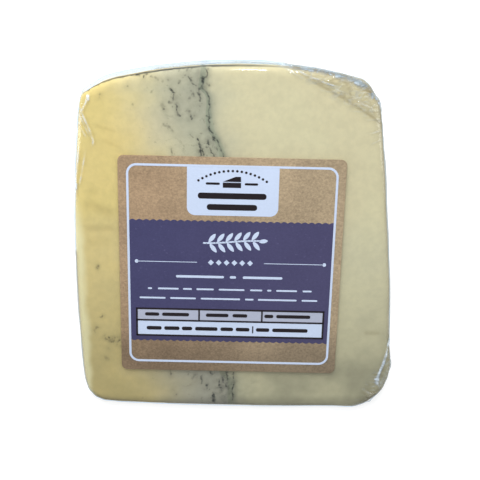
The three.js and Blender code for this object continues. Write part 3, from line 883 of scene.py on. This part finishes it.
def fold_marks(p, depth):
    """Lift, painted highlight and painted shade of the folds and glints at one place of the film."""
    lift = white = dark = 0.0
    fade = 1 - smooth(depth, 4, 9)
    if fade == 0:
        return lift, white, dark
    wobble = 0.75 + 0.5 * noise.noise(p / 3.1 + Vector((0, 0, 40)))
    patch = 0.65 + 1.0 * noise.noise(p / 2.4 + Vector((5, 5, 5)))
    for points, half, height, whiteness, darkness in FILM_FOLDS:
        away, share = near_line(p.x, p.y, points)
        if away < half * 2.4:
            taper = smooth(share, -0.02, 0.18) * (1 - smooth(share, 0.82, 1.02))
            taper = max(taper, 0.15) * fade
            lift += height * 0.62 * max(0.0, 1 - away / half) ** 1.2 * wobble * taper
            # Painted highlight along each fold
            white = max(white, whiteness * taper * max(0.0, 1 - away / (half * 0.75)) * patch)
            if whiteness:
                beside = max(0.0, 1 - abs(away / half - 1.25) / 0.7)
            else:
                beside = 1 - smooth(away / half, 0.0, 1.6)
            dark = max(dark, darkness * taper * beside)
    # Painted glints
    for x, y, along, across, turn in FILM_GLINTS:
        dx, dy = p.x - x, p.y - y
        u = (dx * math.cos(turn) + dy * math.sin(turn)) / along
        v = (dy * math.cos(turn) - dx * math.sin(turn)) / across
        if abs(u) < 2 and abs(v) < 2:
            ragged = abs(u) * 0.7 + abs(v) * 0.7 + 0.9 * noise.noise(p / 0.9 + Vector((2, 0, 0)))
            white = max(white, 1.1 * fade * (1 - smooth(ragged, 0.45, 1.0)))
    return lift, white, dark


def wrinkle_film(film):
    """Folds, gathers and slack, moved along the film's normals, with the haze, painted highlights and painted
    shade that follow them.
    """
    mesh = film.data
    mesh.update()
    normals = [vertex.normal.copy() for vertex in mesh.vertices]
    looks = {"haze_and_glint": [], "crumple": [], "shade": []}
    for vertex, normal in zip(mesh.vertices, normals):
        p = vertex.co / MM
        x, y, z = p
        depth = plane_z(y) - z
        label = under_label(x, y) * smooth(normal.z, 0.6, 0.9)
        loose = loose_share(x, y) * (1 - 0.8 * smooth(depth, 5, 13))
        base = smooth(z, 2.5, 0.4)
        side = smooth(1 - abs(normal.z), 0.25, 0.7)
        # Along and across the upper right fold, on the face, or round the wall
        s = x * 0.87 - y * 0.49 + noise.noise(p / 6) * 2.5
        t = x * 0.49 + y * 0.87 - z * 0.6 + noise.noise(p / 6 + Vector((9, 0, 0))) * 2.5
        gather = 0.75 * facets(s * 0.36, t, 3.2, 3) + 0.45 * facets(s * 0.5, t, 1.6, 8)
        lift = 0.5 * loose * gather * (1 - 0.8 * base)
        tension = noise.noise(Vector((x / 30, y / 30, z / 3.4)) + Vector((31, 0, 0)))
        lift += side * (1 - loose) * 0.16 * (0.3 - 2.2 * abs(tension))
        lift += 0.06 * noise.noise(p / 17 + Vector((0, 9, 0))) * (1 - label)
        lift += 0.5 * smooth(normal.y, 0.3, 0.8) * smooth(x, 26, 6) * smooth(x, -53, -44) * smooth(z, 8, 16)
        fold, white, dark = fold_marks(p, depth)
        lift = (lift + fold) * (1 - label) + 0.2 * label
        if base > 0:
            lift = min(lift, 0.02 + 0.3 * (1 - base))
        vertex.co += (normal * max(lift, -0.22) + corner_push(p)) * MM
        if vertex.co.z < 0.02 * MM:
            vertex.co.z = 0.02 * MM
        crease = 1 - min(1.0, abs(gather + 0.15) / 0.3)
        # Haze, with the painted highlights and glints of the folds
        looks["haze_and_glint"].append(max(0.0, min(1.0, white + 0.2 * loose * max(0.0, gather - 0.35))))
        looks["crumple"].append(min(1.0, loose + 0.15 * side))
        # Painted shade: a darker strip over the gathered shoulder, a greyer line along the side walls and
        # darker creases where the film is loose
        shoulder_shade = 0.4 * loose * smooth(depth, 0.6, 1.8) * smooth(y, 38, 46) * smooth(x, 12, 22)
        outline_shade = 0.65 * (1 - min(1.0, white)) * smooth(abs(normal.x), 0.5, 0.8) * smooth(depth, 9, 5)
        outline_shade *= x > 0 or y < -5
        looks["shade"].append(min(1.0, max(dark, shoulder_shade, outline_shade, loose * (0.06 + 0.4 * crease))))
    for name, values in looks.items():
        write_attribute(film, name, values)


def film_material(settings):
    """Clear film: see-through, glossy at each fold and milky where it is creased, with painted highlights and
    painted shade on its folds.
    """
    material, g, out, point = new_material("Clear film")
    haze_and_glint, crumple, shade = g.attribute("haze_and_glint"), g.attribute("crumple"), g.attribute("shade")
    swayed = g.vector("ADD", point, g.scaled(g.noise(point, 220.0, 2.0, 0.5, "Color"), 0.0026))
    turned = g.stretched(swayed, (0.0, 0.0, 0.5), (0.28, 1.0, 0.8))
    creases = g.math("ABSOLUTE", g.math("MULTIPLY_ADD", g.noise(turned, 600.0, 2.0, 0.5), 2.0, -1.0))
    ripple = g.noise(point, 90.0, 2.0, 0.5)
    height = g.times(g.math("SUBTRACT", 1.0, creases), g.times(crumple, 1.5))
    height = g.math("MULTIPLY_ADD", ripple, 0.5, height)
    bump = g.bump(height, 0.6, 0.0004)
    facing = g.node("ShaderNodeLayerWeight", {"Blend": 0.5}).outputs["Facing"]

    # A net of fine creases painted as highlights, and a net of painted shade just beside it
    net_scale = 640.0
    pale = g.step(g.cracks(turned, net_scale), 0.13, 0.02)
    dim = g.step(g.cracks(g.vector("ADD", turned, (0.0004, -0.0006, 0.0)), net_scale), 0.16, 0.02)
    patches = g.step(g.noise(point, 300.0, 2.0, 0.5), 0.42, 0.6)
    pale = g.times(g.times(pale, patches), crumple)
    dim = g.times(dim, crumple)
    haze_and_glint = g.math("MULTIPLY_ADD", pale, 0.26, haze_and_glint, clamp=True)
    shade = g.math("MULTIPLY_ADD", dim, 0.22, shade, clamp=True)
    # The film turns bluish and darker towards a glancing view: painted reflection
    tint = g.mix(g.math("POWER", facing, 2.4), (0.985, 0.985, 0.985), (0.56, 0.73, 0.88))
    # Painted shade darkens what shows through the film and the milky part that shows its haze and painted
    # highlights
    tint = g.mix(shade, tint, g.tinted(tint, (0.66, 0.62, 0.56)))
    clear = g.node("ShaderNodeBsdfTransparent", {"Color": tint})
    milk = g.mix(shade, tuple(settings.film_haze_and_glint_colour), (0.34, 0.43, 0.50))
    milky = g.node("ShaderNodeBsdfDiffuse", {"Color": milk, "Normal": bump})
    gloss = g.node("ShaderNodeBsdfGlossy", {"Color": (1.0, 1.0, 1.0, 1.0), "Roughness": 0.06, "Normal": bump})
    glancing = g.node("ShaderNodeLayerWeight", {"Blend": 0.5, "Normal": bump}).outputs["Facing"]
    glance = g.math("MULTIPLY_ADD", g.math("POWER", glancing, 5.0), 0.4, 0.05, clamp=True)
    cloudy = g.times(haze_and_glint, g.step(g.noise(point, 500.0, 3.0, 0.6), 0.3, 0.7, 0.6, 1.1), clamp=True)
    cloudy = g.math("MULTIPLY_ADD", cloudy, 0.85, 0.008)
    body = g.node("ShaderNodeMixShader", {0: cloudy, 1: clear.outputs[0], 2: milky.outputs[0]})
    surface = g.node("ShaderNodeMixShader", {0: glance, 1: body.outputs[0], 2: gloss.outputs[0]})
    g.send(out, {"Surface": surface.outputs[0]})
    return material


def make_film(settings):
    film = film_shell(settings.film_detail)
    refine_film(film)
    wrinkle_film(film)
    pick(film)
    bpy.ops.object.shade_smooth()
    material = film_material(settings)
    finish_piece(film, material, "film", "clear_film")
    make_seal(film, material)


def make_seal(film, material):
    """The heat seal low on the rim: a narrow crimped strip that stands off the film."""
    tree = BVHTree.FromObject(film, bpy.context.evaluated_depsgraph_get())
    bpy.ops.mesh.primitive_grid_add(x_subdivisions=SEAL_STEPS, y_subdivisions=12, size=1)
    seal = bpy.context.object
    seal.name = "film_seal"
    steps = {}
    for vertex in seal.data.vertices:
        share, out = vertex.co.x + 0.5, vertex.co.y + 0.5
        x = SEAL_START + (SEAL_END - SEAL_START) * share
        key = round(share * SEAL_STEPS)
        if key not in steps:
            hit = tree.ray_cast(Vector((x, 90, SEAL_LEVEL)) * MM, Vector((0, -1, 0)))[0]
            steps[key] = hit.y / MM
        ends = smooth(share, 0, 0.06) * (1 - smooth(share, 0.94, 1))
        crimp = 0.10 * math.sin(x * 2 * math.pi / 0.9) * smooth(out, 0.2, 0.5)
        droop = 0.5 * math.sin(x / 6.5) * out + 0.25 * math.sin(x / 2.3 + 1) * out
        y = steps[key] - 0.15 + SEAL_REACH * out * (0.35 + 0.65 * ends)
        vertex.co = Vector((x, y, SEAL_LEVEL + crimp + droop)) * MM
    modify(seal, "SOLIDIFY", thickness=0.12 * MM, offset=0.0)
    # Even haze and even painted shade over the whole seal
    for name, value in (("haze_and_glint", 0.28), ("crumple", 0.3), ("shade", 0.2)):
        write_attribute(seal, name, [value] * len(seal.data.vertices))
    pick(seal)
    bpy.ops.object.shade_smooth_by_angle(angle=math.radians(40))
    finish_piece(seal, material, "film")


# Label

def open_plane(left, right, low, high, height):
    """A flat rectangle at a height over the film's plane, left in edit mode with all of it selected."""
    bpy.ops.mesh.primitive_plane_add(size=1, location=((left + right) / 2, (low + high) / 2, height))
    obj = bpy.context.object
    for vertex in obj.data.vertices:
        vertex.co.x *= right - left
        vertex.co.y *= high - low
    bpy.ops.object.transform_apply(location=True, rotation=True, scale=True)
    edit(obj)
    return obj


def thicken(bottom, top):
    """Extrudes the selected faces upward, turns all normals outward and leaves edit mode."""
    bpy.ops.mesh.extrude_region_move(TRANSFORM_OT_translate={"value": (0, 0, top - bottom)})
    select_whole()
    bpy.ops.mesh.normals_make_consistent(inside=False)
    leave()


def slab(left, right, low, high, corner, bottom, top):
    """A thin plate with rounded corners, between two heights over the film's plane."""
    obj = open_plane(left, right, low, high, bottom)
    if corner:
        segments = 8 if corner > 1 else 3
        bpy.ops.mesh.bevel(offset=corner, offset_type="OFFSET", segments=segments, affect="VERTICES")
        select_whole()
    thicken(bottom, top)
    return obj


def place_on_label(objects, name):
    """Joins flat shapes drawn in millimetres and lays them on the sloping face."""
    obj = join(objects, name)
    middle = Vector((*LABEL_MIDDLE, plane_z(LABEL_MIDDLE[1]))) * MM
    turn = Matrix.Rotation(SLOPE_ANGLE, 4, "X") @ Matrix.Rotation(LABEL_TURN, 4, "Z")
    obj.matrix_world = Matrix.Translation(middle) @ turn @ Matrix.Scale(MM, 4)
    pick(obj)
    bpy.ops.object.transform_apply(location=True, rotation=True, scale=True)
    bpy.ops.object.shade_smooth_by_angle(angle=math.radians(30))
    return obj


def disc(u, v, radius, bottom, top, sides=20, stretch=1.0, turn=0.0):
    """A thin round or leaf-shaped plate."""
    bpy.ops.mesh.primitive_cylinder_add(vertices=sides, radius=1, depth=1)
    obj = bpy.context.object
    for vertex in obj.data.vertices:
        x, y = vertex.co.x * radius * stretch, vertex.co.y * radius
        if stretch != 1.0:
            y *= math.sqrt(max(0.0, 1 - (x / (radius * stretch)) ** 2)) * 0.55 + 0.45
        z = bottom if vertex.co.z < 0 else top
        vertex.co = (
            u + x * math.cos(turn) - y * math.sin(turn),
            v + x * math.sin(turn) + y * math.cos(turn),
            z,
        )
    return obj


# Heights of the paper and of each layer of print over the film's plane, bottom and top
PAPER = (0.24, 0.44)
BAND = (0.43, 0.465)
LINES = (0.44, 0.50)
ON_CELLS = (0.48, 0.53)

# Left and right end of each bar that stands in for a word
TAG_WORDS = [(-18.4, -2.1), (-0.1, 2.0), (4.3, 17.8)]
FIRST_WORDS = [(-28, -26.6), (-24.6, -17.5), (-16, -13), (-11.4, -5.5), (-3.8, 5), (6.9, 11.1),
               (12.8, 14.2), (15.9, 23), (24.9, 28)]
SECOND_WORDS = [(-30.9, -22), (-20.4, -11.6), (-9.9, 3.6), (5.3, 8.2), (9.7, 23), (24.7, 30.1)]
CELL_WORDS = [(-29.1, -24.2), (-23.2, -13.9), (-8.1, -0.3), (1.1, 6.2), (12.1, 15.2), (16.2, 28)]
ROW_WORDS = [(-28.6, -23.4), (-22.5, -17.2), (-16.4, -12.8), (-11.8, -4.0), (-3.0, 1.4), (2.3, 7.1),
             (9.3, 14.0), (15.0, 27.3)]


def words(spans, middle, height, heights):
    return [slab(a, b, middle - height / 2, middle + height / 2, height * 0.45, *heights) for a, b in spans]


def ring(left, right, low, high, corner, width, bottom, top):
    """A rounded frame line."""
    obj = open_plane(left, right, low, high, bottom)
    bpy.ops.mesh.bevel(offset=corner, offset_type="OFFSET", segments=10, affect="VERTICES")
    select_whole()
    bpy.ops.mesh.inset(thickness=width)
    bpy.ops.mesh.delete(type="FACE")
    select_whole()
    thicken(bottom, top)
    return obj


def name_tab():
    """The pale tab that hangs from the frame, with two round lower corners."""
    obj = slab(-14.8, 15.5, 18.4, 35.2, 0, *BAND)
    edit(obj, "DESELECT")
    bpy.ops.mesh.select_mode(type="EDGE")
    mesh = bmesh.from_edit_mesh(obj.data)
    for side in mesh.edges:
        first, second = (vertex.co for vertex in side.verts)
        side.select_set(abs(first.z - second.z) > 0.01 and first.y < 19)
    bmesh.update_edit_mesh(obj.data)
    bpy.ops.mesh.bevel(offset=2.7, segments=8, affect="EDGES")
    leave()
    return obj


def scalloped_band():
    """The wide band with small scallops along its upper and lower edge."""
    left, right, low, high = -34.05, 34.25, -26.4, 16.7
    pitch, deep = 2.3, 0.5
    steps = 360
    bpy.ops.mesh.primitive_grid_add(x_subdivisions=steps, y_subdivisions=2, size=1)
    obj = bpy.context.object
    for vertex in obj.data.vertices:
        x = left + (right - left) * (vertex.co.x + 0.5)
        scallop = deep * abs(math.sin(math.pi * (x - left) / pitch))
        upper = vertex.co.y + 0.5
        y = (low - scallop) * (1 - upper) + (high + scallop - deep) * upper
        vertex.co = (x, y, BAND[0])
    edit(obj)
    thicken(*BAND)
    return obj


def sprig():
    """A plain leafy sprig in the title place."""
    shapes = []
    for i in range(18):
        a, b = -9.3 + i * 1.05, -9.3 + (i + 1) * 1.05 + 0.2
        rise = 9.4 + 0.55 * math.sin((i - 8.5) / 5.2)
        shapes.append(slab(a, b, rise - 0.28, rise + 0.28, 0, *LINES))
    for i in range(6):
        u = -7.6 + i * 2.9
        rise = 9.4 + 0.55 * math.sin((u + 0.2) / 5.5)
        for along, above, turn in ((1.3, 1.75, 52), (1.7, -1.75, -52)):
            leaf = {"sides": 28, "stretch": 2.6, "turn": math.radians(turn)}
            shapes.append(disc(u + along, rise + above, 0.72, *LINES, **leaf))
    shapes.append(disc(10.9, 9.85, 0.7, *LINES, sides=28, stretch=2.2, turn=math.radians(8)))
    return shapes


def wedge_sign():
    """A plain cheese wedge drawn in the tab: its side and its sloping top."""
    side = slab(-3.0, 3.0, 27.9, 29.6, 0, *LINES)
    top = slab(-3.0, 3.0, 29.9, 31.6, 0, *LINES)
    for vertex in top.data.vertices:
        if vertex.co.y > 31:
            vertex.co.x = 2.9 if vertex.co.x > 0 else 1.2
    return [side, top]


def print_shapes():
    """Every printed shape, by colour."""
    table = (-32.2, 32.8)
    white = [ring(-34.75, 34.95, -34.85, 35.4, 3.4, 0.75, *LINES)]
    white.append(name_tab())
    white += sprig()
    white.append(slab(-31.7, -11.3, 1.92, 2.14, 0, *LINES))
    white.append(slab(11.4, 31.8, 1.92, 2.14, 0, *LINES))
    white.append(disc(-31.7, 2.03, 0.62, *LINES))
    white.append(disc(31.8, 2.03, 0.62, *LINES))
    white += [disc(-6.6 + i * 2.65, 2.05, 1.0, *LINES, sides=4) for i in range(6)]
    white += words(TAG_WORDS, -3.1, 0.85, LINES)
    white += words(FIRST_WORDS, -7.6, 0.6, LINES)
    white += words(SECOND_WORDS, -11.0, 0.6, LINES)
    white.append(slab(table[0] + 0.15, table[1] - 0.15, -24.95, -19.3, 0, BAND[0], LINES[1] - 0.02))

    grey = [slab(a, b, -19.1, -14.85, 0, BAND[0], LINES[1] - 0.02)
            for a, b in ((-32.05, -10.6), (-10.3, 11.1), (11.4, 32.65))]

    black = [ring(table[0], table[1], -25.1, -14.7, 0.05, 0.6, LINES[0], ON_CELLS[1])]
    black.append(slab(table[0], table[1], -19.5, -18.9, 0, LINES[0], ON_CELLS[1]))
    black += [slab(u - 0.28, u + 0.28, -19.2, -14.8, 0, LINES[0], ON_CELLS[1]) for u in (-10.45, 11.25)]
    black += words(CELL_WORDS, -17.0, 1.2, ON_CELLS)
    black += words(ROW_WORDS, -22.1, 1.3, ON_CELLS)
    black.append(slab(8.0, 8.4, -23.4, -20.8, 0, *ON_CELLS))
    black += wedge_sign()
    black += words([(-8.6, -4.0), (4.2, 8.6)], 29.2, 0.75, LINES)
    black.append(slab(-11.2, 11.5, 24.1, 26.1, 0.9, *LINES))
    black.append(slab(-8.2, 8.5, 20.3, 22.3, 0.9, *LINES))
    for i in range(17):
        turn = math.radians(-33 + i * 66 / 16)
        black.append(disc(0.2 + 20.6 * math.sin(turn), 12.9 + 20.6 * math.cos(turn), 0.42, *LINES, sides=12))
    return {"white": white, "purple": [scalloped_band()], "grey": grey, "black": black}


def paper_group():
    """Fibres, flecks and tooth of plain paper."""
    tree, g, given, out = new_group(
        "Paper grain",
        [("Point", "NodeSocketVector"), ("Contrast", "NodeSocketFloat")],
        [("Shade", "NodeSocketFloat"), ("Fleck", "NodeSocketFloat"), ("Height", "NodeSocketFloat")],
    )
    point = given["Point"]
    long_way = g.stretched(point, (-SLOPE_ANGLE, 0.0, 0.0), (0.7, 1.0, 1.0))
    fibre = g.noise(long_way, 1900.0, 3.0, 0.7)
    tooth = g.noise(point, 1300.0, 3.0, 0.75)
    both = g.math("MULTIPLY_ADD", fibre, 0.5, g.times(tooth, 0.5))
    cloud = g.noise(point, 60.0, 3.0, 0.5)
    shade = g.math("ADD", g.step(both, 0.3, 0.7, -1.0, 1.0), g.step(cloud, 0.3, 0.7, -0.35, 0.35))
    shade = g.math("MULTIPLY_ADD", shade, given["Contrast"], 1.0)
    fleck = g.step(g.noise(long_way, 1300.0, 2.0, 0.5), 0.66, 0.74)
    g.send(out, {"Shade": shade, "Fleck": fleck, "Height": both})
    return tree


def paper_material(name, grain, colour, contrast, fleck_colour, fleck_share, roughness, spread, side_and_shade_tints=None):
    """Paper or ink on it, with the paper's grain. The two side tints, when given, tint its left side and
    darken its lower side, a painted shade.
    """
    material, g, out, point = new_material(name)
    if side_and_shade_tints:
        x, y, _ = g.split(point)
        wander = g.math("MULTIPLY_ADD", g.noise(point, 70.0, 2.0, 0.5), 0.016, -0.008)
        # Tinted towards the left side
        right = g.step(g.math("ADD", x, wander), -0.038, 0.030)
        colour = g.mix(right, g.tinted(colour, side_and_shade_tints[0]), colour)
        # Darker towards the lower side: painted shade
        lower = g.step(g.math("ADD", y, wander), -0.044, -0.026, 1.0, 0.0)
        colour = g.mix(lower, colour, g.tinted(colour, side_and_shade_tints[1]))
    tooth = g.group(grain, {"Point": point, "Contrast": contrast})
    base = g.tinted(colour, g.grey(tooth["Shade"]))
    base = g.mix(g.times(tooth["Fleck"], fleck_share), base, fleck_colour)
    rough = g.step(g.noise(point, 55.0, 2.0, 0.5), 0.3, 0.7, roughness - spread, roughness + spread)
    bump = g.bump(tooth["Height"], 0.3, 0.0001)
    shader = g.node("ShaderNodeBsdfPrincipled", {"Base Color": base, "Roughness": rough, "Normal": bump})
    g.send(out, {"Surface": shader.outputs[0]})
    return material


def make_label(settings):
    grain = paper_group()
    across, along = LABEL_HALVES
    sheet = slab(-across, across, -along, along, 2.0, *PAPER)
    edit(sheet)
    bpy.ops.mesh.bevel(offset=0.05, segments=1, affect="EDGES")
    leave()
    paper = place_on_label([sheet], "label_paper")
    kraft = tuple(settings.kraft_colour)
    finish_piece(
        paper,
        # The kraft's two tints: a redder, darker left side and a painted shade on its lower side
        paper_material("Kraft paper", grain, kraft, 0.27, ink(96, 74, 54), 0.35, 0.62, 0.08,
                       ((0.92, 0.83, 0.79), (0.56, 0.565, 0.58))),
        "kraft_paper", "label",
    )
    band = tuple(settings.band_colour)
    inks = {
        "white": (ink(203, 216, 239), 0.025, ink(200, 205, 215), 0.1, 0.5, 0.05),
        # The band's two tints: a bluer, darker left side and a painted shade on its lower side
        "purple": (band, 0.09, ink(104, 100, 140), 0.35, 0.42, 0.08, ((0.84, 0.88, 0.97), (0.93, 0.9, 0.86))),
        "grey": (ink(178, 183, 201), 0.03, ink(170, 175, 190), 0.1, 0.5, 0.05),
        "black": (ink(30, 22, 26), 0.08, ink(60, 52, 56), 0.2, 0.45, 0.05),
    }
    for name, shapes in print_shapes().items():
        piece = place_on_label(shapes, "label_print_" + name)
        finish_piece(piece, paper_material(name.title() + " ink", grain, *inks[name]), "kraft_paper")


# Floor, light and camera

# The stage is in metres: the floor is flat up to a distance from its middle, and curves up beyond it
FLOOR_SIDE = 4
FLOOR_DROP = 0.0002
FLOOR_FLAT = 1.3
FLOOR_RISE = 0.9
CAMERA_PLACE = (0.001653, -0.001501, 0.2649)
MIDDLE = (0.0, 0.0, 0.01)
DAYLIGHT = (0.97, 0.985, 1.0)
SPARK_SIZE = (0.03, 0.03)

# Place, size and power of each light. Lights with False are not seen in glossy surfaces
LIGHTS = {
    "Left spark": ((-0.16, 0.07, 0.50), SPARK_SIZE, 0.22, False),
    "Middle spark": ((0.02, 0.17, 0.52), SPARK_SIZE, 0.22, True),
    "Right spark": ((0.20, 0.06, 0.48), SPARK_SIZE, 0.22, False),
    "Left fill": ((-0.46, 0.0, 0.15), (0.12, 0.4), 0.60, True),
    "Right fill": ((0.45, -0.02, 0.26), (0.12, 0.35), 0.31, True),
}


def make_floor(glow):
    """A pale floor that curves up far away, so that no view shows its end."""
    bpy.ops.mesh.primitive_grid_add(
        x_subdivisions=48, y_subdivisions=48, size=FLOOR_SIDE, location=(0, 0, -FLOOR_DROP))
    floor = bpy.context.object
    floor.name = "floor"
    for vertex in floor.data.vertices:
        vertex.co.z = FLOOR_RISE * max(0.0, max(abs(vertex.co.x), abs(vertex.co.y)) - FLOOR_FLAT) ** 2
    bpy.ops.object.shade_smooth()
    material, g, out, point = new_material("Pale floor")
    mottle = g.step(g.noise(point, 40.0, 3.0, 0.5), 0.3, 0.7, 0.49, 0.5)
    shader = g.node("ShaderNodeBsdfPrincipled", {
        "Base Color": g.grey(mottle), "Roughness": 0.9, "Specular IOR Level": 0.0,
        "Emission Color": (1.0, 1.0, 1.0, 1.0), "Emission Strength": glow,
    })
    g.send(out, {"Surface": shader.outputs[0]})
    floor.data.materials.append(material)


def add_area(name, location, size, power, glossy):
    """A soft rectangular light that points at the middle of the piece."""
    light = bpy.data.lights.new(name, "AREA")
    light.shape = "RECTANGLE"
    light.size, light.size_y = size
    light.energy = power
    light.color = DAYLIGHT
    obj = bpy.data.objects.new(name, light)
    bpy.context.scene.collection.objects.link(obj)
    obj.location = location
    obj.rotation_euler = (Vector(MIDDLE) - Vector(location)).to_track_quat("-Z", "Y").to_euler()
    obj.visible_glossy = glossy


def make_stage(settings):
    make_floor(settings.floor_glow)

    world = bpy.data.worlds.new("Studio")
    bpy.context.scene.world = world
    world.use_nodes = True
    background = world.node_tree.nodes["Background"]
    background.inputs["Color"].default_value = (0.93, 0.96, 1.0, 1.0)
    background.inputs["Strength"].default_value = 0.27

    add_area("Window", (-0.06, 0.36, 0.34), (0.5, 0.3), settings.key_power, False)
    for name, values in LIGHTS.items():
        add_area(name, *values)

    camera = bpy.data.cameras.new("Camera")
    camera.sensor_width = 36
    camera.lens = settings.lens
    obj = bpy.data.objects.new("Camera", camera)
    bpy.context.scene.collection.objects.link(obj)
    obj.location = CAMERA_PLACE
    bpy.context.scene.camera = obj
    bpy.context.scene.view_settings.view_transform = "Standard"
    bpy.context.scene.view_settings.look = "None"


# Add-on classes

def colour_setting(name, description, default):
    return FloatVectorProperty(
        name=name, description=description, default=default, size=3, min=0, max=1, subtype="COLOR")


def detail_setting(name, description, default):
    return FloatProperty(
        name=name, description=description, default=default, min=0.4 * MM, max=3 * MM, unit="LENGTH")


class CheeseSettings(bpy.types.PropertyGroup):
    """Sizes and colours that a user would change."""

    cheese_detail: detail_setting("Cheese detail", "Size of one face of the cheese", 0.8 * MM)
    film_detail: detail_setting("Film detail", "Size of one face of the film", 1.0 * MM)
    sheep_colour: colour_setting("Sheep cheese", "Colour of the sheep cheese at the rim", ink(229, 207, 134))
    goat_colour: colour_setting("Goat cheese", "Colour of the goat cheese at the rim", ink(219, 208, 168))
    kraft_colour: colour_setting("Kraft paper", "Colour of the label's paper", ink(173, 153, 124))
    band_colour: colour_setting("Label band", "Colour of the label's wide band", ink(74, 71, 105))
    # Colour of the film's haze, also of its painted highlights and glints
    film_haze_and_glint_colour: colour_setting("Film haze", "Colour of the film where it is creased", (0.82, 0.9, 0.97))
    lens: FloatProperty(
        name="Lens", description="Focal length of the camera in millimetres", default=54.6,
        min=10, max=300)
    key_power: FloatProperty(
        name="Window power", description="Power of the main light in watts", default=2.82,
        min=0, max=100)
    floor_glow: FloatProperty(
        name="Floor glow", description="Light given off by the pale floor", default=0.68,
        min=0, max=2)


class Step:
    """What every step of the model has in common."""

    bl_options = {"REGISTER", "UNDO"}
    action = None

    def execute(self, context):
        type(self).action(context.scene.cheese_settings)
        return {"FINISHED"}


class CHEESE_OT_layers(Step, bpy.types.Operator):
    """Model the sheep layer, the ash seam and the goat layer"""

    bl_idname = "cheese.layers"
    bl_label = "Cheese Layers"
    action = staticmethod(make_cheese)


class CHEESE_OT_film(Step, bpy.types.Operator):
    """Model the clear film with its folds and its heat seal"""

    bl_idname = "cheese.film"
    bl_label = "Clear Film"
    action = staticmethod(make_film)


class CHEESE_OT_label(Step, bpy.types.Operator):
    """Model the paper label and its print"""

    bl_idname = "cheese.label"
    bl_label = "Paper Label"
    action = staticmethod(make_label)


class CHEESE_OT_stage(Step, bpy.types.Operator):
    """Set up the floor, the lights and the camera"""

    bl_idname = "cheese.stage"
    bl_label = "Floor, Light and Camera"
    action = staticmethod(make_stage)


STEPS = [CHEESE_OT_layers, CHEESE_OT_film, CHEESE_OT_label, CHEESE_OT_stage]


class CHEESE_PT_panel(bpy.types.Panel):
    """Lists the steps of the model and its settings"""

    bl_label = "Cheese Wedge"
    bl_idname = "CHEESE_PT_panel"
    bl_space_type = "VIEW_3D"
    bl_region_type = "UI"
    bl_category = "Cheese"

    def draw(self, context):
        for step in STEPS:
            self.layout.operator(step.bl_idname)
        settings = context.scene.cheese_settings
        for name in CheeseSettings.__annotations__:
            self.layout.prop(settings, name)


CLASSES = [CheeseSettings, *STEPS, CHEESE_PT_panel]


def register():
    for cls in CLASSES:
        bpy.utils.register_class(cls)
    bpy.types.Scene.cheese_settings = PointerProperty(type=CheeseSettings)


def unregister():
    del bpy.types.Scene.cheese_settings
    for cls in reversed(CLASSES):
        bpy.utils.unregister_class(cls)


def main():
    register()
    bpy.ops.object.select_all(action="DESELECT")
    bpy.ops.cheese.stage()
    bpy.ops.cheese.layers()
    bpy.ops.cheese.film()
    bpy.ops.cheese.label()


if __name__ == "__main__":
    main()
